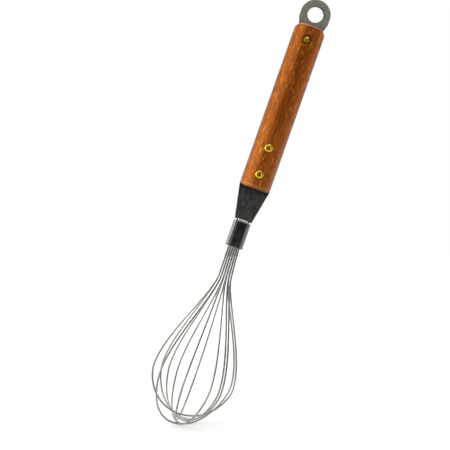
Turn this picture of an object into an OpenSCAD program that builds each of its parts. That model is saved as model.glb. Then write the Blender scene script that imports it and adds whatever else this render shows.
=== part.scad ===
// Balloon whisk. A stamped steel tang carries two riveted wooden scales, and a crimped
// ferrule holds both ends of six spring-wire loops against the tongue of the tang.
// Origin at the centre of the hanging eye, +Z up the handle, X across it, front at -Y.

/* [Hanging eye] */
// Outer diameter of the eye
eye_d = 20.8; // [18:0.2:24]
// Diameter of the hole that hangs on a hook
eye_hole_d = 11; // [8:0.5:14]
// Length of the eye's straight sides, from its centre to where they draw in
eye_side_l = 4; // [2:0.1:6]
// Centre of the eye down to the top of the wood
eye_drop = 9.5; // [9:0.1:16]
// Width of the tang where it enters the wood
waist_w = 17.4; // [15:0.2:18]

/* [Tang] */
// Thickness of the steel blank
tang_t = 2; // [1.5:0.1:3]
// Width of the tang and of the wood on it
handle_w = 21.5; // [20:0.5:28]
// Length of the bare neck, from the wood to its shoulders
neck_l = 23.3; // [15:0.1:40]
// Radius of the corners at the shoulders
shoulder_r = 0.6; // [0.2:0.1:1.2]
// Gap between the shoulders and the ferrule
shoulder_gap = 1.1; // [0.4:0.1:3]

/* [Wooden scales] */
// Length of the scales, measured on the centre line
scale_l = 116.9; // [90:0.1:150]
// Thickness of one scale at its crown
scale_t = 8; // [6:0.5:11]
// Radius of the rounded sides in section
scale_side_r = 5; // [3:0.5:5.5]
// How far the sides of the wood are sanded in from the edges of the steel
scale_sanding = 0.3; // [0.1:0.05:0.6]
// Radius of the corners at the eye end
scale_corner_r = 3; // [1.5:0.5:4]
// Radius of the corners at the ferrule end
scale_heel_r = 1.2; // [0.6:0.2:3]
// Rounding of both ends towards the crown
scale_end_r = 2.2; // [1:0.2:4]
// How far the ends bow out in the middle
scale_bow = 0.7; // [0.4:0.1:2]

/* [Rivets] */
// Diameter of the shank
rivet_shank_d = 3.4; // [2.6:0.1:3.6]
// Diameter of the domed head
rivet_head_d = 5; // [4.4:0.1:5.4]
// Height of the domed head over its seat
rivet_head_h = 1.3; // [1:0.1:2]
// Outer diameter of the rolled end
rivet_roll_d = 5.6; // [5:0.1:6]
// Height of the rolled end over its seat
rivet_roll_h = 1.4; // [1:0.1:2]
// Diameter of the hollow in the rolled end
rivet_hollow_d = 2.2; // [1.6:0.1:2.4]
// Depth of that hollow below the seat
rivet_hollow_l = 5; // [3:0.5:10]
// Depth of the flat seat cut in the crown of the wood
rivet_seat = 0.8; // [0.6:0.1:1.4]
// Top rivet from the top of the wood
rivet_top_in = 10.4; // [8:0.1:16]
// Lowest rivet from the bottom of the wood
rivet_lower_in = 10.2; // [8:0.1:16]
// Spacing of the two rivets near the ferrule
rivet_pair = 18.8; // [12:0.2:40]

/* [Ferrule] */
// Length of the ferrule
ferrule_l = 18; // [14:0.5:26]
// Wall of the ferrule
ferrule_wall = 1; // [0.6:0.1:1.5]
// Room between the outer wires and the wall, inside each ear
ferrule_ear = 0.95; // [0.6:0.05:1.5]
// Outer radius of its rounded sides
ferrule_side_r = 2.3; // [1.6:0.1:3]
// How far the ears stand out from the pressed middle
ferrule_press = 0.6; // [0.2:0.1:1]
// Width of the slope from an ear down to the pressed middle
ferrule_slope = 0.4; // [0.2:0.1:1.4]
// Width of the pressed middle
ferrule_press_w = 6.8; // [4:0.1:7]
// Lip left standing at each end of the pressed middle
ferrule_lip = 0.3; // [0.2:0.1:3]

/* [Wire] */
// Diameter of the spring wire
wire_d = 1.3; // [1:0.05:1.6]
// Least gap between wires, and between wires and what they lie on
wire_gap = 0.1; // [0.05:0.05:0.2]
// How far the wire ends stand above the ferrule
wire_proud = 1.5; // [0.5:0.1:3]

/* [Cage] */
// Radius of the cage at its widest, to the middle of the wire
cage_r = 28.6; // [22:0.1:34]
// Length of the throat, where the wires only begin to splay
throat_l = 19.9; // [16:0.1:34]
// Length of the taper, from the throat to the widest place
taper_l = 73.4; // [50:0.2:100]
// Length of the round end, from the widest place to the tip
round_l = 34.4; // [24:0.2:45]
// Sideways set of the hand-bent wires at the end of the throat
throat_set = 1.1; // [0:0.1:2]
// Sideways set of the cage at its widest
widest_set = 3.7; // [0:0.1:5]
// Sideways set of the cage at its tip
tip_set = 2.8; // [0:0.1:5]

/* [Hidden] */

// Each loop of wire: the heading of its front strand round the cage and that of its rear
// strand, in degrees (0 to the right, 90 to the rear), and its place in the pile of
// crossings at the tip, counted from the lowest.
loop_layings = [[-177, 6, 5],
                [-142, 20, 0],
                [-45, 146, 4],
                [-50, 130, 3],
                [-64, 115, 1],
                [-101, 87, 2]];

// Handle lengths of the curves that a strand follows, as shares of the taper, of the round
// end and of the cage's radius
flare_share = 0.2;
shoulder_share = 0.31;
side_share = 0.31;
tip_share = 0.7;
// The throat's widening, as a multiple of the bundle in the ferrule
throat_splay = 1.2;

// Steps of a strand along its taper and round its end, sides of the wire, steps of a circle
taper_steps = 18;
round_steps = 14;
wire_sides = 8;
circle_steps = 96;

// Fit of a rivet in its holes and seats, all round
rivet_fit = 0.15;
// Room between the tongue and the sides of the ferrule
tongue_fit = 0.6;
// Overrun of cuts past the faces that they open
cut = 1;

// Heights down the handle
wood_top = -eye_drop;
wood_end = wood_top - scale_l;
side_top = wood_top - scale_bow - scale_corner_r;
neck_top = wood_end + scale_bow;
neck_end = neck_top - neck_l;
ferrule_top = neck_end - shoulder_gap;
ferrule_end = ferrule_top - ferrule_l;
throat_end = ferrule_end - throat_l;
widest = throat_end - taper_l;
tip = widest - round_l;
rivet_top_z = wood_top - rivet_top_in;
rivet_lower_z = wood_end + rivet_lower_in;
rivet_middle_z = rivet_lower_z + rivet_pair;

// Wood, a little narrower than the steel
scale_w = handle_w - 2 * scale_sanding;

// Bundle of wires in the ferrule: two rows of six, one on each face of the tongue
row_count = len(loop_layings);
wire_pitch = wire_d + wire_gap;
row_y = tang_t / 2 + wire_gap + wire_d / 2;
bundle_w = row_count * wire_pitch - wire_gap;
wire_top = ferrule_top + wire_proud;

// Ferrule section
bore_w = bundle_w + 2 * ferrule_ear;
ferrule_w = bore_w + 2 * ferrule_wall;
land_y = row_y + wire_d / 2 + wire_gap;
ear_y = land_y + ferrule_wall + ferrule_press;
tongue_w = bore_w - 2 * tongue_fit;

// Rivet
rivet_grip = tang_t + 2 * (scale_t - rivet_seat);
seat_d = max(rivet_head_d, rivet_roll_d) + 2 * rivet_fit;
roll_r = (rivet_roll_d - rivet_hollow_d) / 4;
dome_r = (pow(rivet_head_d / 2, 2) + pow(rivet_head_h, 2)) / (2 * rivet_head_h);

$fn = circle_steps;

// Arch of three arcs over a base of width w: sides of radius r, crown at height h
module arch_section(w, h, r) {
    half = w / 2;
    crown_r = (half * half + h * h - 2 * half * r) / (2 * (h - r));
    crown_y = h - crown_r;
    side_x = half - r;
    far = [0, crown_y] + 2 * crown_r * [side_x, -crown_y] / norm([side_x, crown_y]);
    top = abs(far.y) + h;
    intersection() {
        translate([-half, 0]) square([w, h]);
        union() {
            for (s = [-1, 1]) translate([s * side_x, 0]) circle(r = r);
            translate([-side_x, 0]) square([2 * side_x, r]);
            intersection() {
                translate([0, crown_y]) circle(r = crown_r);
                polygon([[0, crown_y], far, [far.x, top], [-far.x, top], [-far.x, far.y]]);
            }
        }
    }
}

// What the bow takes off an end of width w, the end's outermost point at y = 0
module bow_waste(w) {
    bow_r = (w * w / 4 + scale_bow * scale_bow) / (2 * scale_bow);
    difference() {
        translate([-w, -scale_bow]) square([2 * w, scale_bow + cut]);
        translate([0, -bow_r]) circle(r = bow_r);
    }
}

// Front view of a scale of width w: bowed ends, large corners at the eye, small ones at the heel
module scale_outline(w) {
    half = w / 2;
    side_end = wood_end + scale_bow + scale_heel_r;
    difference() {
        union() {
            translate([-half, side_end]) square([w, side_top - side_end]);
            translate([-half + scale_corner_r, side_end])
                square([w - 2 * scale_corner_r, wood_top - side_end]);
            translate([-half + scale_heel_r, wood_end])
                square([w - 2 * scale_heel_r, side_top - wood_end]);
            for (s = [-1, 1]) {
                translate([s * (half - scale_corner_r), side_top]) circle(r = scale_corner_r);
                translate([s * (half - scale_heel_r), side_end]) circle(r = scale_heel_r);
            }
        }
        translate([0, wood_top]) bow_waste(w);
        translate([0, wood_end]) rotate(180) bow_waste(w);
    }
}

// Side view of a scale: flat on the tang, its ends rounded over towards the crown
module scale_side() {
    flat_l = scale_l - 2 * scale_end_r;
    translate([0, wood_end]) square([scale_t - scale_end_r, scale_l]);
    translate([0, wood_end + scale_end_r]) square([scale_t, flat_l]);
    for (z = [wood_end + scale_end_r, wood_top - scale_end_r])
        translate([scale_t - scale_end_r, z]) circle(r = scale_end_r);
}

// One scale, flat side at y = 0 and crown towards +Y
module scale_blank() {
    intersection() {
        translate([0, 0, wood_end]) linear_extrude(scale_l) arch_section(scale_w, scale_t, scale_side_r);
        rotate([90, 0, 0]) linear_extrude(2 * scale_t, center = true) scale_outline(scale_w);
        rotate([90, 0, 90]) linear_extrude(scale_w, center = true) scale_side();
    }
}

// A cylinder along Y from y = 0
module along_y(d, l) {
    rotate([-90, 0, 0]) cylinder(d = d, h = l);
}

module wooden_scale() {
    color([0.62, 0.33, 0.13])
    difference() {
        translate([0, tang_t / 2, 0]) scale_blank();
        for (z = [rivet_top_z, rivet_middle_z, rivet_lower_z]) translate([0, 0, z]) {
            along_y(rivet_shank_d + 2 * rivet_fit, tang_t + scale_t);
            translate([0, rivet_grip / 2, 0]) along_y(seat_d, rivet_seat + cut);
        }
    }
}

module front_scale() {
    mirror([0, 1, 0]) wooden_scale();
}

module rear_scale() {
    wooden_scale();
}

// Waist below the eye: straight sides as wide as the eye, then drawn in to the wood
module waist_outline() {
    half = eye_d / 2;
    polygon([[-half, 0], [half, 0], [half, -eye_side_l], [waist_w / 2, -eye_drop], [waist_w / 2, side_top],
             [-waist_w / 2, side_top], [-waist_w / 2, -eye_drop], [-half, -eye_side_l]]);
}

// Bare neck, tapered to the width of the ferrule, with rounded corners at its shoulders
module neck_outline() {
    half = ferrule_w / 2;
    lean = (handle_w / 2 - half) / neck_l;
    corner_x = half - shoulder_r * (sqrt(1 + lean * lean) - lean);
    corner_z = neck_end + shoulder_r;
    edge = shoulder_r * [1, -lean] / sqrt(1 + lean * lean);
    polygon([[-handle_w / 2, neck_top], [-corner_x - edge.x, corner_z + edge.y], [-corner_x, neck_end],
             [corner_x, neck_end], [corner_x + edge.x, corner_z + edge.y], [handle_w / 2, neck_top]]);
    for (s = [-1, 1]) translate([s * corner_x, corner_z]) circle(r = shoulder_r);
}

// Part of the blank: an outline in the front view, as thick as the steel
module plate() {
    rotate([90, 0, 0]) linear_extrude(tang_t, center = true) children();
}

module tang() {
    tongue_end = ferrule_end + ferrule_lip;
    color([0.42, 0.42, 0.4])
    difference() {
        union() {
            plate() circle(d = eye_d);
            plate() waist_outline();
            plate() scale_outline(handle_w);
            plate() translate([-handle_w / 2, neck_top]) square([handle_w, side_top - neck_top]);
            plate() neck_outline();
            plate() translate([-tongue_w / 2, tongue_end])
                square([tongue_w, neck_end + shoulder_r - tongue_end]);
        }
        translate([0, -tang_t, 0]) along_y(eye_hole_d, 2 * tang_t);
        for (z = [rivet_top_z, rivet_middle_z, rivet_lower_z])
            translate([0, -tang_t, z]) along_y(rivet_shank_d + 2 * rivet_fit, 2 * tang_t);
    }
}

// Semi-tubular rivet along +Y, the seat of its head at y = 0: solid domed head, hollow end
// rolled out over the far seat
module rivet() {
    color([0.83, 0.68, 0.3])
    rotate([-90, 0, 0]) rotate_extrude() difference() {
        union() {
            square([rivet_shank_d / 2, rivet_grip]);
            intersection() {
                translate([0, dome_r - rivet_head_h]) circle(r = dome_r);
                translate([0, -rivet_head_h]) square([rivet_head_d / 2, rivet_head_h]);
            }
            intersection() {
                translate([rivet_hollow_d / 2 + roll_r, rivet_grip + rivet_roll_h - roll_r])
                    circle(r = roll_r);
                translate([0, rivet_grip]) square([rivet_roll_d / 2, rivet_roll_h]);
            }
        }
        translate([0, rivet_grip - rivet_hollow_l])
            square([rivet_hollow_d / 2, rivet_hollow_l + rivet_roll_h + cut]);
    }
}

// Top rivet: head at the front
module rivet_top() {
    translate([0, -rivet_grip / 2, rivet_top_z]) rivet();
}

// Lower rivets: rolled end at the front
module rivet_middle() {
    translate([0, rivet_grip / 2, rivet_middle_z]) mirror([0, 1, 0]) rivet();
}

module rivet_lower() {
    translate([0, rivet_grip / 2, rivet_lower_z]) mirror([0, 1, 0]) rivet();
}

// Flattened tube in section: half width x, half thickness y, sides rounded to radius r
module tube_section(x, y, r) {
    square([2 * x, 2 * (y - r)], center = true);
    square([2 * (x - r), 2 * y], center = true);
    for (s = [-1, 1]) for (t = [-1, 1]) translate([s * (x - r), t * (y - r)]) circle(r = r);
}

// Mark of the crimping tool: a flat-bottomed pocket with sloping sides, open towards +Y
module press_mark() {
    half_w = ferrule_press_w / 2;
    half_l = ferrule_l / 2 - ferrule_lip;
    deep = ear_y - ferrule_press;
    far = ear_y + ferrule_press;
    intersection() {
        translate([0, 0, ferrule_end]) linear_extrude(ferrule_l)
            polygon([[-half_w, deep], [half_w, deep],
                     [half_w + 2 * ferrule_slope, far], [-half_w - 2 * ferrule_slope, far]]);
        translate([0, 0, ferrule_end + ferrule_l / 2])
            rotate([90, 0, 90]) linear_extrude(2 * ferrule_w, center = true)
                polygon([[deep, -half_l], [deep, half_l],
                         [far, half_l + 2 * ferrule_press], [far, -half_l - 2 * ferrule_press]]);
    }
}

module ferrule() {
    land_w = ferrule_press_w + ferrule_wall;
    color([0.55, 0.54, 0.52])
    difference() {
        translate([0, 0, ferrule_end]) linear_extrude(ferrule_l) difference() {
            tube_section(ferrule_w / 2, ear_y, ferrule_side_r);
            difference() {
                tube_section(bore_w / 2, ear_y - ferrule_wall, ferrule_side_r - ferrule_wall);
                for (s = [-1, 1])
                    translate([0, s * (land_y + ear_y)]) square([land_w, 2 * ear_y], center = true);
            }
        }
        press_mark();
        mirror([0, 1, 0]) press_mark();
    }
}

// Point of a cubic curve through p[0] and p[3], drawn towards p[1] and p[2]
function curve_point(p, t) =
    pow(1 - t, 3) * p[0] + 3 * pow(1 - t, 2) * t * p[1] + 3 * (1 - t) * t * t * p[2] + t * t * t * p[3];

function heading(a) = [cos(a), sin(a), 0];

// How many strands of the same row lie further left than one with heading a
function rank_in_row(a, row) = len([for (loop = loop_layings) if (cos(loop[row]) < cos(a)) 1]);

// Place of a strand in the bundle: row 0 before the tongue, row 1 behind it
function bundle_place(a, row) =
    [(rank_in_row(a, row) - (row_count - 1) / 2) * wire_pitch, (row == 0 ? -1 : 1) * row_y, 0];

// Crossing of a loop at the tip of the cage
function crossing(loop) = [tip_set, 0, tip + wire_d / 2 + loop[2] * wire_pitch];

// Middle line of one strand, from its end above the ferrule down to the crossing
function strand(loop, row) =
    let (place = bundle_place(loop[row], row),
         start = place + [0, 0, ferrule_end],
         throat = place * throat_splay + [throat_set, 0, throat_end],
         lead = (throat - start) / throat_l,
         side = heading(loop[row]) * cage_r + [widest_set, 0, widest],
         cross = crossing(loop),
         sweep = heading(loop[row]) - heading(loop[1 - row]),
         taper = [throat, throat + lead * flare_share * taper_l,
                  side + [0, 0, shoulder_share * taper_l], side],
         round_end = [side, side - [0, 0, side_share * (widest - cross.z)],
                      cross + tip_share * cage_r * sweep / norm(sweep), cross])
    concat([place + [0, 0, wire_top], start],
           [for (i = [0:taper_steps]) curve_point(taper, i / taper_steps)],
           [for (i = [1:round_steps]) curve_point(round_end, i / round_steps)]);

// Middle line of a whole loop, front strand first
function loop_line(loop) =
    let (front = strand(loop, 0), rear = strand(loop, 1))
    concat(front, [for (i = [len(rear) - 2:-1:0]) rear[i]]);

// Direction of a line at its point i
function line_heading(line, i) =
    let (d = line[min(i + 1, len(line) - 1)] - line[max(i - 1, 0)]) d / norm(d);

// Round wire along a line that stays near the upright plane square to the level direction n
module wire(line, n) {
    count = len(line);
    points = [for (i = [0:count - 1])
        let (along = line_heading(line, i), across = cross(along, n),
             u = across / norm(across), v = cross(along, u))
        for (k = [0:wire_sides - 1])
            let (a = 360 * (k + 1 / 2) / wire_sides) line[i] + wire_d / 2 * (cos(a) * u + sin(a) * v)];
    skin = [for (i = [0:count - 2]) for (k = [0:wire_sides - 1])
        let (a = i * wire_sides, b = a + wire_sides, m = (k + 1) % wire_sides)
        each [[a + k, b + k, a + m], [a + m, b + k, b + m]]];
    last = (count - 1) * wire_sides;
    ends = [[for (k = [0:wire_sides - 1]) k], [for (k = [wire_sides - 1:-1:0]) last + k]];
    color([0.68, 0.68, 0.66]) polyhedron(points, concat(skin, ends));
}

module wire_loop(i) {
    loop = loop_layings[i];
    sweep = heading(loop[0]) - heading(loop[1]);
    wire(loop_line(loop), cross(sweep, [0, 0, 1]) / norm(sweep));
}

tang();
front_scale();
rear_scale();
rivet_top();
rivet_middle();
rivet_lower();
ferrule();
wire_loop(0);  // wire_loop_1
wire_loop(1);  // wire_loop_2
wire_loop(2);  // wire_loop_3
wire_loop(3);  // wire_loop_4
wire_loop(4);  // wire_loop_5
wire_loop(5);  // wire_loop_6
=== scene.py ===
import math

import bpy
from mathutils import Matrix, Vector


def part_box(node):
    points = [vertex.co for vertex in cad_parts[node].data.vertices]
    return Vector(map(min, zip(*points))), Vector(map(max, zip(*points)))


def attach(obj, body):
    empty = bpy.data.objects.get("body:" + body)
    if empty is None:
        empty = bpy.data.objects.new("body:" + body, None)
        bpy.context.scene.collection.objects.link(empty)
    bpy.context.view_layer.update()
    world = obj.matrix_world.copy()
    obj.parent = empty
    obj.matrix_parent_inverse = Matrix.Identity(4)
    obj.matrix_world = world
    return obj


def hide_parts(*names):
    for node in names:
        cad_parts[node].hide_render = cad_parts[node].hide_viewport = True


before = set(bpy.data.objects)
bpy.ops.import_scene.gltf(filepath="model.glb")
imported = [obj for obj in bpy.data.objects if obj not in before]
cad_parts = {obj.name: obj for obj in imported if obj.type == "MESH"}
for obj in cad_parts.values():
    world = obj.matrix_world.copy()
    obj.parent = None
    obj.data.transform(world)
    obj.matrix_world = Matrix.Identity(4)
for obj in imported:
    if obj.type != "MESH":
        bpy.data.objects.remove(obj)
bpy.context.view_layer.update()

# Balloon whisk: flat steel tang with a hanging eye, two riveted wooden scales, a crimped
# ferrule and six loops of spring wire. Lengths in metres.
MM = 0.001

# Heights down the tool, from the hanging eye
WOOD_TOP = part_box("front_scale")[1].z
WOOD_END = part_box("front_scale")[0].z
FERRULE_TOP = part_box("ferrule")[1].z
FERRULE_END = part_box("ferrule")[0].z
RIVET_NODES = ("rivet_top", "rivet_middle", "rivet_lower")
RIVET_HEIGHTS = [(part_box(node)[0].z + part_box(node)[1].z) / 2 for node in RIVET_NODES]

# Loops of wire in the cage
LOOP_COUNT = 6

# Rounding of the arrises
TANG_ROUNDING = 0.22 * MM
WOOD_ROUNDING = 0.35 * MM
FERRULE_ROUNDING = 0.2 * MM
ARRIS_ANGLE = math.radians(32)
ARRIS_SEGMENTS = 3

# CAD points as near to each other as this are merged, and faces as level as this are joined
WELD_DISTANCE = 0.002 * MM
FLAT_ANGLE = math.radians(0.4)

# Bow of the wood's ends: how fast they fall away from their middle, per metre
END_BOW = 6.4

# How wide the wood's grain sways
GRAIN_SWAY = 2.5 * MM

# How far round a rivet's axis the wood's edges stay crisp
CRISP_ROUND_RIVET = 4 * MM

# How far the crimp draws the wires' cut ends in towards the tool's middle
END_PINCH = 0.86

# Added to the wire's eight sides, because smoothing takes it away again
WIRE_SWELL = 0.062 * MM

# Rivet along +Y in millimetres, its head's seat at 0: steps of radius and place along it
SHANK_R = 1.7
GRIP = 16.4
HEAD = [(2.38, 0), (2.5, -0.08), (2.5, -0.16), (2.4, -0.32), (2.18, -0.47), (1.85, -0.64),
        (1.45, -0.84), (1.0, -1.05), (0.6, -1.2), (0.25, -1.28)]
ROLL = [(2.7, 16.4), (2.84, 16.6), (2.86, 16.9), (2.82, 17.15), (2.66, 17.37), (2.38, 17.58),
        (2.06, 17.74), (1.82, 17.8), (1.58, 17.74), (1.34, 17.55), (1.17, 17.27), (1.1, 16.9),
        (1.1, 14.5), (1.1, 11.7), (0.95, 11.45), (0.4, 11.4)]
TURNED_SIDES = 48

# Where painted light and shade and the finishes change, each a band from one place to another
# Painted shade round the rivet seats in the wood
RIVET_SEAT_SHADE = (2.9 * MM, 3.9 * MM)             # out from a rivet's axis
# Painted highlight along the wood's rounded top end
TOP_LIP_HIGHLIGHT = (0.3 * MM, 1.1 * MM)                # down from the wood's top
# Painted shade at the wood's heel
HEEL_SHADE_BAND = (0.2 * MM, 1.9 * MM)              # up from the wood's end
# Painted highlight on the rounded edge just above the heel
HEEL_LIP_HIGHLIGHT = (1.4 * MM, 3.4 * MM)
PALM_POLISH = (WOOD_END, WOOD_END + 75 * MM)
OXIDE_BLOOM = (-70 * MM, -40 * MM)             # heights on the tang
# Painted shadow that the wood's end casts on the neck
SHADOW_UNDER_WOOD = (WOOD_END - 2.8 * MM, WOOD_END)
# Painted crescent of shade on the face at one side of the hanging eye's hole
HOLE_RIM_CRESCENT = (5.7 * MM, 6.0 * MM)                # out from the painted crescent's off-centre middle
# Painted shade inside the hanging eye's hole
HOLE_WALL = (5.9 * MM, 6.4 * MM)               # out from the hanging eye's middle
# Painted shade on the ferrule's left side
LEFT_SIDE_SHADE = (-4.6 * MM, -3.4 * MM)            # across the ferrule
# Painted shade on the ferrule's pressed panel
PRESSED_PANEL = (3.0 * MM, 3.7 * MM)           # out from PANEL_MIDDLE, to either side
FERRULE_EAR = (3.7 * MM, 4.2 * MM)
# Painted shade in the right corner of the pressed panel
RIGHT_CORNER_SHADE = (0.25 * MM, 0.65 * MM)          # out from PANEL_CORNER, to either side
FERRULE_FOOT = (FERRULE_END + 0.3 * MM, FERRULE_END + 1.0 * MM)
# Wires darker towards the ferrule
THROAT = (FERRULE_END - 50 * MM, FERRULE_END - 8 * MM)
# Painted shade on the cage's belly
BELLY = (-242 * MM, -210 * MM)
BELOW_BELLY = (-286 * MM, -272 * MM)
# Painted shade on the cage's left side
CAGE_LEFT_SHADE = (-25 * MM, -14 * MM)               # across the cage
# Cut ends of the wires, painted pale as a highlight
CUT_END_HIGHLIGHT = (FERRULE_TOP + 0.1 * MM, FERRULE_TOP + 0.3 * MM)
# Painted shade round a lit spot on the top rivet's head
HEAD_SHADE_BAND = (0.8 * MM, 1.8 * MM)               # out from the lit spot on a rivet's head

# Middles of what isn't centred on the tool
# Middle of the painted crescent of shade at the hanging eye
CRESCENT_MIDDLE = (0.37 * MM, 0, 0.25 * MM)
PANEL_MIDDLE = 0.6 * MM
PANEL_CORNER = 3.5 * MM
# Shift of the lit spot that the painted shade on the top rivet's head leaves bright
LIT_SPOT_SHIFT = (-0.35 * MM, 0, -0.8 * MM)

# Colours of painted highlights and painted shade, of darkening, and white
# Painted shade round the rivet seats in the wood
SEAT_SHADE_BROWN = (0.05, 0.016, 0.005, 1)
# Painted highlight at the wood's top end
TOP_HIGHLIGHT_TONE = (0.66, 0.4, 0.27, 1)
# Painted highlight just above the wood's heel
HEEL_HIGHLIGHT_TONE = (0.5, 0.27, 0.15, 1)
# Painted shade at the wood's heel
HEEL_SHADE_TONE = (0.035, 0.016, 0.009, 1)
# Painted shadow on the neck under the wood
NECK_SHADOW_TONE = (0.02, 0.017, 0.014, 1)
# Painted shade at the hanging eye's hole, on the face and inside it
HOLE_SHADE_TONE = (0.05, 0.038, 0.03, 1)
# Painted shade in the panel's right corner, and the darker foot of the ferrule
CORNER_SHADE_AND_FOOT_DARK = (0.03, 0.029, 0.027, 1)
# Painted shade on the belly and the cage's left, and darkening in the throat
WIRE_SHADE_AND_DARKENING = (0.1, 0.092, 0.075, 1)
# Painted shade on the top rivet's head
HEAD_SHADE_TONE = (0.09, 0.035, 0.002, 1)
WHITE = (1, 1, 1, 1)

# Camera, fitted to the photograph
PICTURE_CENTRE = Vector((-10.6 * MM, 0, -156 * MM))
CAMERA_DISTANCE = 562 * MM
FRAME_WIDTH = 307.8 * MM
SENSOR = 36
LEAN = math.radians(19.4)
PICTURE_RIGHT = Vector((math.cos(LEAN), 0, math.sin(LEAN)))
PICTURE_UP = Vector((-math.sin(LEAN), 0, math.cos(LEAN)))

# Lamps and floor, from the picture's centre
LAMP_DISTANCE = 0.95
FLOOR_DROP = 137 * MM
FLOOR_SIZE = 6

# The room that lights and shows in the metal: brighter above and at the left, dark in front
ROOM_LEVEL = 0.78
ROOM_SLOPE = PICTURE_UP * 0.3 - PICTURE_RIGHT * 0.15
ROOM_FRONT = (-0.15, 0.5)                      # cosine between a way and the way to the camera
FRONT_LEVEL = 0.06

# The floor's glow, near the tool and far from it, and where it lies behind the tool
NEAR_FLOOR = (0.1, 0.7)
NEAR_GLOW = (0.335, 0.75)
FAR_FLOOR = (0.7, 2.5)
FAR_GLOW = 0.27
FLOOR_BEHIND = (-0.15, 0.1)
FLOOR_GRAIN = 400                              # specks to the metre


# ---- Modelling by hand

def select_only(piece):
    bpy.ops.object.select_all(action="DESELECT")
    piece.select_set(True)
    bpy.context.view_layer.objects.active = piece


def start_editing(piece, mode="VERT"):
    select_only(piece)
    bpy.ops.object.mode_set(mode="EDIT")
    bpy.ops.mesh.select_mode(type=mode)
    bpy.ops.mesh.select_all(action="SELECT")


def stop_editing():
    bpy.ops.object.mode_set(mode="OBJECT")


def pick_faces(piece, wanted):
    """Selects the faces that wanted(face) accepts, and leaves edit mode on."""
    bpy.ops.mesh.select_mode(type="FACE")
    bpy.ops.mesh.select_all(action="DESELECT")
    stop_editing()
    for face in piece.data.polygons:
        face.select = wanted(face)
    bpy.ops.object.mode_set(mode="EDIT")


def apply_modifier(piece, kind, **settings):
    select_only(piece)
    modifier = piece.modifiers.new(kind.lower(), kind)
    for key, value in settings.items():
        setattr(modifier, key, value)
    bpy.ops.object.modifier_apply(modifier=modifier.name)


def shade(piece, smooth_angle):
    """Smooth shading, but for edges sharper than so many degrees."""
    select_only(piece)
    bpy.ops.object.shade_smooth_by_angle(angle=math.radians(smooth_angle))


def welded_copy(node, name):
    """A copy of a CAD node with its loose triangles merged, to be finished as a piece."""
    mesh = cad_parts[node].data.copy()
    mesh.materials.clear()
    piece = bpy.data.objects.new(name, mesh)
    bpy.context.scene.collection.objects.link(piece)
    select_only(piece)
    bpy.ops.mesh.customdata_custom_splitnormals_clear()
    start_editing(piece)
    bpy.ops.mesh.remove_doubles(threshold=WELD_DISTANCE)
    stop_editing()
    return piece


def soften(piece, width, smooth_angle=35, left_crisp=lambda middle: False):
    """Rounds the arrises but those left crisp; the strips take the piece's second material."""
    start_editing(piece)
    bpy.ops.mesh.dissolve_limited(angle_limit=FLAT_ANGLE)
    bpy.ops.mesh.select_mode(type="EDGE")
    bpy.ops.mesh.select_all(action="DESELECT")
    bpy.ops.mesh.edges_select_sharp(sharpness=ARRIS_ANGLE)
    stop_editing()
    points = piece.data.vertices
    for edge in piece.data.edges:
        middle = (points[edge.vertices[0]].co + points[edge.vertices[1]].co) / 2
        edge.select = edge.select and not left_crisp(middle)
    bpy.ops.object.mode_set(mode="EDIT")
    bpy.ops.transform.edge_bevelweight(value=1)
    stop_editing()
    strip_material = 1 if len(piece.data.materials) > 1 else -1
    apply_modifier(piece, "BEVEL", width=width, segments=ARRIS_SEGMENTS, limit_method="WEIGHT",
                   use_clamp_overlap=False, material=strip_material)
    shade(piece, smooth_angle)
    apply_modifier(piece, "WEIGHTED_NORMAL", keep_sharp=True, weight=100)


def place(piece, node):
    """Puts a finished piece in the place of its CAD node."""
    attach(piece, "root")
    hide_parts(node)


# ---- Wiring of materials

def add_node(tree, kind, sockets=None, **settings):
    """Adds a shader node; a socket's value is a number, a colour or another node's output."""
    made = tree.nodes.new("ShaderNode" + kind)
    for key, value in settings.items():
        setattr(made, key, value)
    for name, value in (sockets or {}).items():
        if isinstance(value, bpy.types.NodeSocket):
            tree.links.new(value, made.inputs[name])
        else:
            made.inputs[name].default_value = value
    return made


def calc(tree, operation, *values):
    return add_node(tree, "Math", dict(enumerate(values)), operation=operation).outputs[0]


def times(tree, first, second):
    return calc(tree, "MULTIPLY", first, second)


def measure(tree, operation, *vectors):
    """A number from one or two vectors: their distance, length or dot product."""
    return add_node(tree, "VectorMath", dict(enumerate(vectors)),
                    operation=operation).outputs["Value"]


def coordinate(tree, vector, axis):
    return add_node(tree, "SeparateXYZ", {0: vector}).outputs[axis]


def away_from(tree, value, middle):
    """How far a value lies from a middle, to either side."""
    return calc(tree, "ABSOLUTE", calc(tree, "SUBTRACT", value, middle))


def remap(tree, value, low, high, to_low=0.0, to_high=1.0):
    """Smooth step of a value from low..high to to_low..to_high."""
    return add_node(tree, "MapRange", {"Value": value, 1: low, 2: high, 3: to_low, 4: to_high},
                    interpolation_type="SMOOTHSTEP").outputs[0]


def fade(tree, value, band, share=1.0):
    """Share up to the start of a band, and nothing from its end on."""
    return remap(tree, value, *band, share, 0.0)


def rise(tree, value, band, share=1.0):
    """Nothing up to the start of a band, and share from its end on."""
    return remap(tree, value, *band, 0.0, share)


def tint(tree, share, first, second):
    """Mixes two colours by share."""
    return add_node(tree, "Mix", {0: share, 6: first, 7: second}, data_type="RGBA").outputs[2]


def paint(tree, colour, *coats):
    """Lays coats over a colour one by one, each a share and its own colour."""
    for share, coat in coats:
        colour = tint(tree, share, colour, coat)
    return colour


def stretch(tree, vector, scale, turn=(0, 0, 0), shift=(0, 0, 0)):
    return add_node(tree, "Mapping", {"Vector": vector, "Location": shift, "Rotation": turn,
                                      "Scale": scale}).outputs[0]


def noise(tree, vector, detail=2.0, roughness=0.5):
    return add_node(tree, "TexNoise", {"Vector": vector, "Scale": 1.0, "Detail": detail,
                                       "Roughness": roughness}).outputs["Fac"]


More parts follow.
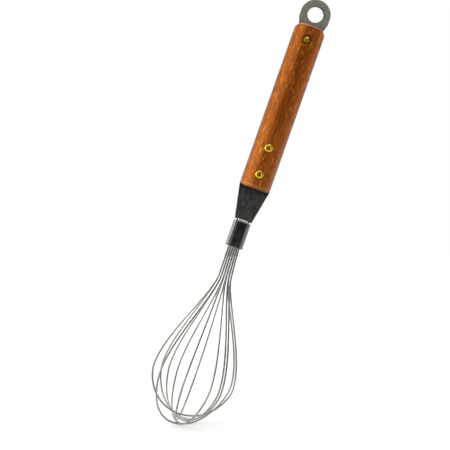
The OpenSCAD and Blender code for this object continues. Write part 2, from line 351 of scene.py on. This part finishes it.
def new_group(name, inputs, outputs):
    """An empty node group with named float, vector or colour sockets."""
    group = bpy.data.node_groups.new(name, "ShaderNodeTree")
    for in_out, sockets in (("INPUT", inputs), ("OUTPUT", outputs)):
        for socket, kind in sockets.items():
            group.interface.new_socket(socket, in_out=in_out, socket_type="NodeSocket" + kind)
    return group, group.nodes.new("NodeGroupInput"), group.nodes.new("NodeGroupOutput")


def new_material(name, **uniform):
    """A material with its uniform values set on the shader's own sockets."""
    material = bpy.data.materials.new(name)
    material.use_nodes = True
    tree = material.node_tree
    shader = tree.nodes["Principled BSDF"]
    for socket, value in uniform.items():
        shader.inputs[socket.replace("_", " ")].default_value = value
    return material, tree, shader, add_node(tree, "TexCoord").outputs["Object"]


def connect(tree, shader, colour, roughness, height, depth):
    """Feeds colour, roughness and a relief of the given depth to the shader."""
    tree.links.new(colour, shader.inputs["Base Color"])
    tree.links.new(roughness, shader.inputs["Roughness"])
    bump = add_node(tree, "Bump", {"Height": height, "Distance": depth, "Strength": 1.0})
    tree.links.new(bump.outputs[0], shader.inputs["Normal"])


# ---- Effects that several finishes share

def make_drawn_lines():
    """Fine lines along the tool, as rolling, drawing or brushing leaves them in steel."""
    tree, given, result = new_group("drawn lines", {"Vector": "Vector", "Width": "Float",
                                                    "Length": "Float"}, {"Lines": "Float"})
    across = calc(tree, "DIVIDE", 1.0, given.outputs["Width"])
    along = calc(tree, "DIVIDE", 1.0, given.outputs["Length"])
    scale = add_node(tree, "CombineXYZ", {"X": across, "Y": across, "Z": along}).outputs[0]
    spread = add_node(tree, "VectorMath", {0: given.outputs["Vector"], 1: scale},
                      operation="MULTIPLY").outputs[0]
    lines = rise(tree, noise(tree, spread, detail=3.0, roughness=0.65), (0.32, 0.68))
    tree.links.new(lines, result.inputs["Lines"])
    return tree


def make_handling_marks():
    """Blotches of touch and dried water, from clean at 0 to dull at 1."""
    tree, given, result = new_group("handling marks", {"Vector": "Vector", "Size": "Float"},
                                    {"Marks": "Float"})
    scale = calc(tree, "DIVIDE", 1.0, given.outputs["Size"])
    spread = add_node(tree, "VectorMath", {0: given.outputs["Vector"], "Scale": scale},
                      operation="SCALE").outputs[0]
    broad = rise(tree, noise(tree, spread, detail=3.0, roughness=0.6), (0.38, 0.66))
    tree.links.new(broad, result.inputs["Marks"])
    return tree


def make_wood_fibre():
    """Interlocked grain of an oiled red-brown hardwood: ribbons, slanted dashes, flecks, pores."""
    tree, given, result = new_group(
        "wood fibre", {"Vector": "Vector", "Worn and lit": "Float"},
        {"Colour": "Color", "Lustre": "Float", "Roughness": "Float", "Height": "Float"})
    vector = given.outputs["Vector"]
    waves = noise(tree, stretch(tree, vector, (50, 50, 11)), detail=1.0)
    sway = times(tree, calc(tree, "SUBTRACT", waves, 0.5), GRAIN_SWAY)
    sideways = add_node(tree, "CombineXYZ", {"X": sway, "Y": sway}).outputs[0]
    swayed = add_node(tree, "VectorMath", {0: vector, 1: sideways}, operation="ADD").outputs[0]

    def grain(across, along, turn, levels, shift=0.0, detail=2.0):
        """Streaks so many to the metre across and along, turned by degrees, between levels."""
        spread = stretch(tree, swayed, (across, across, along), (0, math.radians(turn), 0),
                         (shift, shift, shift))
        return rise(tree, noise(tree, spread, detail), levels)

    ribbons = grain(330, 7, 0, (0.38, 0.62))
    fibres = grain(1500, 45, 2, (0.36, 0.64), shift=2.1, detail=5.0)
    dashes = calc(tree, "MAXIMUM", grain(1050, 170, 9, (0.51, 0.65), detail=5.0),
                  grain(1150, 190, -7, (0.52, 0.66), shift=3.7, detail=5.0))
    flecks = grain(1200, 190, 5, (0.53, 0.67), shift=7.3, detail=5.0)
    pores = grain(3200, 330, 4, (0.58, 0.7), shift=1.3)
    dull = calc(tree, "MAXIMUM", times(tree, dashes, 0.5), times(tree, pores, 0.7))
    body = tint(tree, ribbons, (0.2, 0.035, 0.005, 1), (0.34, 0.072, 0.01, 1))
    made = {"Colour": paint(tree, body,
                            (times(tree, fibres, 0.4), (0.46, 0.12, 0.014, 1)),
                            (times(tree, flecks, 0.65), (0.9, 0.3, 0.033, 1)),
                            (times(tree, dashes, 0.65), (0.06, 0.009, 0.0015, 1)),
                            (times(tree, pores, 0.6), (0.04, 0.008, 0.002, 1)),
                            # pale tone of the arris strips: wear and a painted highlight
                            (given.outputs["Worn and lit"], (0.56, 0.27, 0.12, 1))),
            "Lustre": fade(tree, dull, (0.0, 0.5), 0.3),
            "Roughness": calc(tree, "ADD", 0.25, times(tree, dull, 0.25)),
            "Height": calc(tree, "SUBTRACT", times(tree, fibres, 0.3), dull)}
    for name, value in made.items():
        tree.links.new(value, result.inputs[name])
    return tree


DRAWN_LINES = make_drawn_lines()
HANDLING_MARKS = make_handling_marks()
WOOD_FIBRE = make_wood_fibre()


def lines_and_marks(tree, vector, width, length, blotch):
    """Lines so wide and so long, and handling marks with blotches of the given size."""
    lines = add_node(tree, "Group", {"Vector": vector, "Width": width, "Length": length},
                     node_tree=DRAWN_LINES).outputs[0]
    marks = add_node(tree, "Group", {"Vector": vector, "Size": blotch},
                     node_tree=HANDLING_MARKS).outputs[0]
    return lines, marks


def from_rivets(tree, vector):
    """Distance from the axis of the nearest rivet."""
    flat = stretch(tree, vector, (1, 0, 1))
    nearest = None
    for height in RIVET_HEIGHTS:
        away = measure(tree, "DISTANCE", flat, (0, 0, height))
        nearest = away if nearest is None else calc(tree, "MINIMUM", nearest, away)
    return nearest


# ---- Finishes

def make_wood(name, worn_and_lit):
    """Oiled wood, with painted shade round the rivet seats and at its heel, and painted highlights
    along its top end and just above the heel.
    """
    material, tree, shader, vector = new_material(
        name, IOR=1.9, Specular_IOR_Level=1.0, Specular_Tint=(0.64, 0.225, 0.027, 1),
        Coat_Weight=0.06, Coat_Roughness=0.2)
    fibre = add_node(tree, "Group", {"Vector": vector, "Worn and lit": worn_and_lit},
                     node_tree=WOOD_FIBRE).outputs
    height = coordinate(tree, vector, "Z")
    bow = times(tree, calc(tree, "POWER", coordinate(tree, vector, "X"), 2.0), END_BOW)
    from_heel = calc(tree, "SUBTRACT", calc(tree, "SUBTRACT", height, WOOD_END), bow)
    from_top = calc(tree, "SUBTRACT", calc(tree, "SUBTRACT", WOOD_TOP, height), bow)
    colour = paint(tree, fibre["Colour"],
                   # painted shade round the rivet seats
                   (fade(tree, from_rivets(tree, vector), RIVET_SEAT_SHADE, 0.6), SEAT_SHADE_BROWN),
                   # painted highlight along the rounded top end
                   (fade(tree, from_top, TOP_LIP_HIGHLIGHT, 0.8), TOP_HIGHLIGHT_TONE),
                   # painted highlight on the rounded edge just above the heel
                   (fade(tree, from_heel, HEEL_LIP_HIGHLIGHT, 0.4), HEEL_HIGHLIGHT_TONE),
                   # painted shade at the heel
                   (fade(tree, from_heel, HEEL_SHADE_BAND, 0.8), HEEL_SHADE_TONE))
    lustre = times(tree, fibre["Lustre"], rise(tree, height, PALM_POLISH))
    tree.links.new(lustre, shader.inputs["Metallic"])
    connect(tree, shader, colour, fibre["Roughness"], fibre["Height"], depth=0.05 * MM)
    return material


def make_tang_face():
    """Rolled steel: olive grey at the eye, with a painted crescent of shade at the eye's hole, a
    painted shadow under the wood's end, and oxide on the neck.
    """
    material, tree, shader, vector = new_material("tang_steel_face")
    lines, marks = lines_and_marks(tree, vector, width=0.35 * MM, length=9 * MM,
                                   blotch=2.5 * MM)
    height = coordinate(tree, vector, "Z")
    bloom = fade(tree, height, OXIDE_BLOOM)
    eye = tint(tree, lines, (0.78, 0.745, 0.58, 1), (1.0, 0.965, 0.77, 1))
    neck = tint(tree, lines, (0.055, 0.054, 0.052, 1), (0.19, 0.186, 0.178, 1))
    # painted crescent of shade at the hole's rim
    from_crescent_middle = measure(tree, "DISTANCE", stretch(tree, vector, (1, 0, 1)), CRESCENT_MIDDLE)
    colour = paint(tree, tint(tree, bloom, eye, neck),
                   (times(tree, marks, 0.2), (0.12, 0.11, 0.1, 1)),
                   # painted shadow under the wood's end
                   (rise(tree, height, SHADOW_UNDER_WOOD, 0.75), NECK_SHADOW_TONE),
                   (fade(tree, from_crescent_middle, HOLE_RIM_CRESCENT, 0.85), HOLE_SHADE_TONE))
    roughness = calc(tree, "ADD", remap(tree, bloom, 0, 1, 0.52, 0.28), times(tree, marks, 0.1))
    tree.links.new(remap(tree, bloom, 0, 1, 0.16, 1.0), shader.inputs["Metallic"])
    connect(tree, shader, colour, roughness, lines, depth=0.0015 * MM)
    return material


def make_tang_edge():
    """Sheared and tumbled edge of the blank, brighter than its faces, with painted shade inside
    the hole.
    """
    material, tree, shader, vector = new_material("tang_steel_edge", Metallic=1.0)
    lines, marks = lines_and_marks(tree, vector, width=0.8 * MM, length=0.8 * MM,
                                   blotch=4 * MM)
    sheared = tint(tree, marks, (0.42, 0.41, 0.38, 1), (0.22, 0.21, 0.19, 1))
    # painted shade inside the hole
    hole_shade = fade(tree, measure(tree, "LENGTH", vector), HOLE_WALL, 0.85)
    colour = tint(tree, hole_shade, sheared, HOLE_SHADE_TONE)
    roughness = calc(tree, "ADD", 0.28, times(tree, lines, 0.18))
    connect(tree, shader, colour, roughness, lines, depth=0.01 * MM)
    return material


def make_ferrule_steel():
    """Bright tube with painted shade at its left, on its pressed panel and in the panel's right
    corner, and darker at its foot.
    """
    material, tree, shader, vector = new_material("ferrule_bright_steel", Metallic=1.0)
    lines, marks = lines_and_marks(tree, vector, width=0.25 * MM, length=6 * MM,
                                   blotch=3 * MM)
    across = coordinate(tree, vector, "X")
    off_middle = away_from(tree, across, PANEL_MIDDLE)
    foot = times(tree, rise(tree, off_middle, FERRULE_EAR, 0.75),
                 fade(tree, coordinate(tree, vector, "Z"), FERRULE_FOOT))
    bright = tint(tree, lines, (0.22, 0.217, 0.211, 1), (0.3, 0.296, 0.288, 1))
    colour = paint(tree, bright,
                   (times(tree, marks, 0.35), (0.168, 0.161, 0.153, 1)),
                   # painted shade on the left side
                   (fade(tree, across, LEFT_SIDE_SHADE, 0.4), (0.1, 0.096, 0.092, 1)),
                   # painted shade on the pressed panel
                   (fade(tree, off_middle, PRESSED_PANEL, 0.74), (0.08, 0.078, 0.077, 1)),
                   # painted shade in the panel's right corner
                   (fade(tree, away_from(tree, across, PANEL_CORNER), RIGHT_CORNER_SHADE, 0.8),
                    CORNER_SHADE_AND_FOOT_DARK),
                   # darker at the foot of the ears
                   (foot, CORNER_SHADE_AND_FOOT_DARK))
    roughness = calc(tree, "ADD", 0.1, times(tree, marks, 0.1))
    connect(tree, shader, colour, roughness, lines, depth=0.0008 * MM)
    return material


def make_spring_wire():
    """Drawn wire, darker in the throat, with painted shade on the belly and at the cage's left,
    and its cut ends painted pale as a highlight.
    """
    material, tree, shader, vector = new_material("spring_wire_steel")
    lines, marks = lines_and_marks(tree, vector, width=0.18 * MM, length=5 * MM,
                                   blotch=7 * MM)
    height = coordinate(tree, vector, "Z")
    belly = times(tree, fade(tree, height, BELLY, 0.22), rise(tree, height, BELOW_BELLY))
    # the cut ends, painted pale as a highlight
    ends = rise(tree, height, CUT_END_HIGHLIGHT)
    drawn = tint(tree, lines, (0.35, 0.343, 0.314, 1), (0.47, 0.462, 0.427, 1))
    colour = paint(tree, drawn,
                   (times(tree, marks, 0.3), (0.24, 0.227, 0.195, 1)),
                   # darker towards the ferrule
                   (rise(tree, height, THROAT, 0.66), WIRE_SHADE_AND_DARKENING),
                   # painted shade on the belly
                   (belly, WIRE_SHADE_AND_DARKENING),
                   # painted shade at the cage's left
                   (fade(tree, coordinate(tree, vector, "X"), CAGE_LEFT_SHADE, 0.34), WIRE_SHADE_AND_DARKENING),
                   # painted highlight on the cut ends
                   (ends, (0.86, 0.84, 0.79, 1)))
    dulled = calc(tree, "ADD", times(tree, marks, 0.1), times(tree, ends, 0.3))
    tree.links.new(remap(tree, ends, 0, 1, 1.0, 0.3), shader.inputs["Metallic"])
    roughness = calc(tree, "ADD", 0.16, dulled)
    connect(tree, shader, colour, roughness, lines, depth=0.0003 * MM)
    return material


def make_brass(name, head_shade):
    """Polished brass, with painted shade of the given share round a lit spot on a rivet's head."""
    material, tree, shader, vector = new_material(name, Metallic=1.0)
    lines, marks = lines_and_marks(tree, vector, width=0.5 * MM, length=0.5 * MM,
                                   blotch=1.6 * MM)
    from_lit_spot = from_rivets(tree, stretch(tree, vector, (1, 1, 1), shift=LIT_SPOT_SHIFT))
    polished = tint(tree, lines, (0.8, 0.48, 0.032, 1), (0.92, 0.58, 0.055, 1))
    colour = paint(tree, polished,
                   (times(tree, marks, 0.35), (0.42, 0.22, 0.015, 1)),
                   # painted shade round the lit spot
                   (rise(tree, from_lit_spot, HEAD_SHADE_BAND, head_shade), HEAD_SHADE_TONE))
    roughness = calc(tree, "ADD", 0.16, times(tree, marks, 0.18))
    connect(tree, shader, colour, roughness, lines, depth=0.002 * MM)
    return material


WOOD_FACE = make_wood("wood_face", worn_and_lit=0.0)
# Arris strips paler from wear and a painted highlight
WOOD_ARRIS_WORN_AND_LIT = make_wood("wood_arris_worn_and_lit", worn_and_lit=0.35)
TANG_FACE = make_tang_face()
TANG_EDGE = make_tang_edge()
FERRULE_STEEL = make_ferrule_steel()
SPRING_WIRE = make_spring_wire()
BRASS_ROLL = make_brass("rivet_brass_rolled", head_shade=0.0)
# Painted shade round a lit spot on the top rivet's head
BRASS_HEAD = make_brass("rivet_brass_head", head_shade=0.85)


# ---- Pieces

def make_tang():
    """Steel blank with tumbled arrises and sheared edges."""
    piece = welded_copy("tang", "tang_blank")
    piece.data.materials.append(TANG_FACE)
    piece.data.materials.append(TANG_EDGE)
    soften(piece, TANG_ROUNDING)
    for face in piece.data.polygons:
        looks_sideways = abs(face.normal.y) < 0.5
        if looks_sideways:
            face.material_index = 1
    place(piece, "tang")


def at_rivet(middle):
    """Whether a place lies on the rim of a rivet's seat or bore."""
    away = min(math.hypot(middle.x, middle.z - height) for height in RIVET_HEIGHTS)
    return away < CRISP_ROUND_RIVET


def make_scale(node, name):
    """One half of the grip, its outer arrises rubbed round."""
    piece = welded_copy(node, name)
    piece.data.materials.append(WOOD_FACE)
    piece.data.materials.append(WOOD_ARRIS_WORN_AND_LIT)
    # One half of the grip, its outer arrises rounded as by rubbing, their strips paler from wear
    # and a painted highlight.
    soften(piece, WOOD_ROUNDING, left_crisp=at_rivet)
    place(piece, node)


def turn_profile(piece, end, steps):
    """Draws the shank's face at one end out ring by ring, as on a lathe, and closes it."""
    start_editing(piece)
    pick_faces(piece, lambda face: abs(face.center.y - end * MM) < 0.01 * MM
               and len(face.vertices) > 4)
    radius, along = SHANK_R, end
    for next_radius, next_along in steps:
        bpy.ops.mesh.extrude_region_move(
            TRANSFORM_OT_translate={"value": (0, (next_along - along) * MM, 0)})
        growth = next_radius / radius
        bpy.ops.transform.resize(value=(growth, 1, growth),
                                 center_override=(0, next_along * MM, 0))
        radius, along = next_radius, next_along
    bpy.ops.mesh.merge(type="CENTER")
    stop_editing()


def turn_rivet():
    """A semi-tubular brass rivet, turned from its shank, with its head towards the front."""
    bpy.ops.object.select_all(action="DESELECT")
    bpy.ops.mesh.primitive_cylinder_add(vertices=TURNED_SIDES, radius=SHANK_R * MM,
                                        depth=GRIP * MM, location=(0, GRIP / 2 * MM, 0),
                                        rotation=(math.radians(90), 0, 0))
    rivet = bpy.context.active_object
    bpy.ops.object.transform_apply(location=True, rotation=True, scale=True)
    turn_profile(rivet, 0, HEAD)
    turn_profile(rivet, GRIP, ROLL)
    start_editing(rivet)
    bpy.ops.mesh.normals_make_consistent(inside=False)
    stop_editing()
    shade(rivet, smooth_angle=40)
    rivet.data.materials.append(BRASS_ROLL)
    rivet.data.materials.append(BRASS_HEAD)
    for face in rivet.data.polygons:
        face.material_index = 1 if face.center.y < 0 else 0
    return rivet


def make_rivets():
    """Three copies of one rivet: the top one head first, the lower two rolled end first."""
    master = turn_rivet()
    for node, height in zip(RIVET_NODES, RIVET_HEIGHTS):
        piece = bpy.data.objects.new(node + "_brass", master.data.copy())
        bpy.context.scene.collection.objects.link(piece)
        turn = Matrix.Identity(4) if node == "rivet_top" else Matrix.Rotation(math.pi, 4, "Z")
        piece.data.transform(Matrix.Translation((0, 0, height)) @ turn
                             @ Matrix.Translation((0, -GRIP / 2 * MM, 0)))
        place(piece, node)
    bpy.data.objects.remove(master)


def make_ferrule():
    """Crimped tube, its die marks and rims softened by the press."""
    piece = welded_copy("ferrule", "ferrule_tube")
    piece.data.materials.append(FERRULE_STEEL)
    soften(piece, FERRULE_ROUNDING, smooth_angle=45)
    place(piece, "ferrule")


def make_wire_loop(number):
    """One loop of round wire, its cut ends left crisp and pinched together by the crimp."""
    node = f"wire_loop_{number}"
    piece = welded_copy(node, node + "_wire")
    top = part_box(node)[1].z

    def cut_end(face):
        """Whether a face looks up from the loop's very top."""
        return face.normal.z > 0.98 and face.center.z > top - 0.05 * MM

    start_editing(piece, "FACE")
    bpy.ops.mesh.tris_convert_to_quads(face_threshold=math.radians(30),
                                       shape_threshold=math.radians(180))
    pick_faces(piece, cut_end)
    bpy.ops.mesh.dissolve_faces()
    pick_faces(piece, cut_end)
    bpy.ops.mesh.region_to_loop()
    bpy.ops.transform.edge_crease(value=1)
    bpy.ops.transform.resize(value=(END_PINCH, 1, 1), center_override=(0, 0, top))
    bpy.ops.mesh.select_mode(type="FACE")
    bpy.ops.mesh.select_all(action="SELECT")
    bpy.ops.transform.shrink_fatten(value=WIRE_SWELL)
    stop_editing()
    apply_modifier(piece, "SUBSURF", levels=2, render_levels=2)
    shade(piece, smooth_angle=50)
    piece.data.materials.append(SPRING_WIRE)
    place(piece, node)


# ---- Studio

def make_camera():
    """Square to the flat of the tool, which leans in the picture."""
    camera = bpy.data.cameras.new("camera")
    camera.sensor_width = SENSOR
    camera.lens = SENSOR * CAMERA_DISTANCE / FRAME_WIDTH
    camera.clip_start, camera.clip_end = 0.01, 20
    holder = bpy.data.objects.new("camera", camera)
    bpy.context.scene.collection.objects.link(holder)
    axes = Matrix((PICTURE_RIGHT, PICTURE_UP, Vector((0, -1, 0)))).transposed().to_4x4()
    spot = PICTURE_CENTRE - Vector((0, CAMERA_DISTANCE, 0))
    holder.matrix_world = Matrix.Translation(spot) @ axes
    bpy.context.scene.camera = holder


def make_softbox(name, round_to, up_to, size, radiance, tilt=0):
    """A lamp that faces the tool, so many degrees to the right of the camera and above it."""
    lamp = bpy.data.lights.new(name, "AREA")
    lamp.shape = "RECTANGLE"
    lamp.size, lamp.size_y = size
    lamp.energy = radiance * math.pi * size[0] * size[1]
    holder = bpy.data.objects.new(name, lamp)
    bpy.context.scene.collection.objects.link(holder)
    turn = math.radians(round_to)
    climb = math.radians(up_to)
    level = PICTURE_RIGHT * math.sin(turn) - Vector((0, math.cos(turn), 0))
    back = level * math.cos(climb) + PICTURE_UP * math.sin(climb)
    right = level.cross(PICTURE_UP) * -1
    axes = Matrix((right, back.cross(right), back)).transposed().to_4x4()
    holder.matrix_world = (Matrix.Translation(PICTURE_CENTRE + back * LAMP_DISTANCE) @ axes
                           @ Matrix.Rotation(math.radians(tilt), 4, "Z"))


def make_lights():
    make_softbox("left_softbox", round_to=-68, up_to=8, size=(1.0, 1.3), radiance=2.2, tilt=-48)
    make_softbox("right_softbox", round_to=80, up_to=0, size=(0.7, 1.2), radiance=0.08)
    make_softbox("top_softbox", round_to=0, up_to=60, size=(1.2, 1.0), radiance=0.9)


def showing(tree, behind):
    """1 where the background shows: straight, or mirrored where it lies behind the tool."""
    path = add_node(tree, "LightPath").outputs
    bounced = calc(tree, "MAXIMUM", path["Is Glossy Ray"], path["Is Transmission Ray"])
    return calc(tree, "MAXIMUM", path["Is Camera Ray"], times(tree, behind, bounced))


def make_world():
    """White to the camera; in the metal white behind the tool, with a dark side in front."""
    world = bpy.data.worlds.new("studio")
    world.use_nodes = True
    bpy.context.scene.world = world
    tree = world.node_tree
    background = tree.nodes["Background"].inputs
    way = add_node(tree, "TexCoord").outputs["Generated"]
    to_camera = measure(tree, "DOT_PRODUCT", way, (0, -1, 0))
    behind = remap(tree, to_camera, *ROOM_FRONT, 1.0, FRONT_LEVEL)
    above = measure(tree, "DOT_PRODUCT", way, ROOM_SLOPE)
    room = times(tree, calc(tree, "ADD", above, ROOM_LEVEL), behind)
    strength = calc(tree, "MAXIMUM", showing(tree, behind), room)
    background["Color"].default_value = WHITE
    tree.links.new(strength, background["Strength"])


def make_floor_material():
    """Matt white with a glow that only the background shows; clear when seen from below."""
    material = bpy.data.materials.new("pale_floor")
    material.use_nodes = True
    tree = material.node_tree
    tree.nodes.remove(tree.nodes["Principled BSDF"])
    vector = add_node(tree, "TexCoord").outputs["Object"]
    grain = noise(tree, stretch(tree, vector, (FLOOR_GRAIN, FLOOR_GRAIN, FLOOR_GRAIN)))
    pale = tint(tree, grain, (0.76, 0.76, 0.76, 1), (0.8, 0.8, 0.8, 1))
    matt = add_node(tree, "BsdfDiffuse", {"Color": pale}).outputs[0]
    away = measure(tree, "LENGTH", vector)
    fill = calc(tree, "ADD", remap(tree, away, *NEAR_FLOOR, *NEAR_GLOW),
                rise(tree, away, FAR_FLOOR, FAR_GLOW))
    behind = rise(tree, coordinate(tree, vector, "Y"), FLOOR_BEHIND)
    strength = times(tree, showing(tree, behind), fill)
    glow = add_node(tree, "Emission", {"Color": WHITE, "Strength": strength}).outputs[0]
    lit = add_node(tree, "AddShader", {0: matt, 1: glow}).outputs[0]
    clear = add_node(tree, "BsdfTransparent").outputs[0]
    below = add_node(tree, "NewGeometry").outputs["Backfacing"]
    surface = add_node(tree, "MixShader", {0: below, 1: lit, 2: clear}).outputs[0]
    tree.links.new(surface, tree.nodes["Material Output"].inputs["Surface"])
    return material


def make_floor():
    """Level with the picture, under the lowest wire."""
    bpy.ops.object.select_all(action="DESELECT")
    bpy.ops.mesh.primitive_plane_add(size=FLOOR_SIZE)
    floor = bpy.context.active_object
    floor.name = "floor"
    axes = Matrix((PICTURE_RIGHT, PICTURE_UP.cross(PICTURE_RIGHT), PICTURE_UP)).transposed()
    floor.matrix_world = (Matrix.Translation(PICTURE_CENTRE - PICTURE_UP * FLOOR_DROP)
                          @ axes.to_4x4())
    floor.data.materials.append(make_floor_material())


make_tang()
make_scale("front_scale", "front_wooden_scale")
make_scale("rear_scale", "rear_wooden_scale")
make_rivets()
make_ferrule()
for number in range(1, LOOP_COUNT + 1):
    make_wire_loop(number)
make_camera()
make_lights()
make_world()
make_floor()
bpy.context.scene.view_settings.view_transform = "Standard"
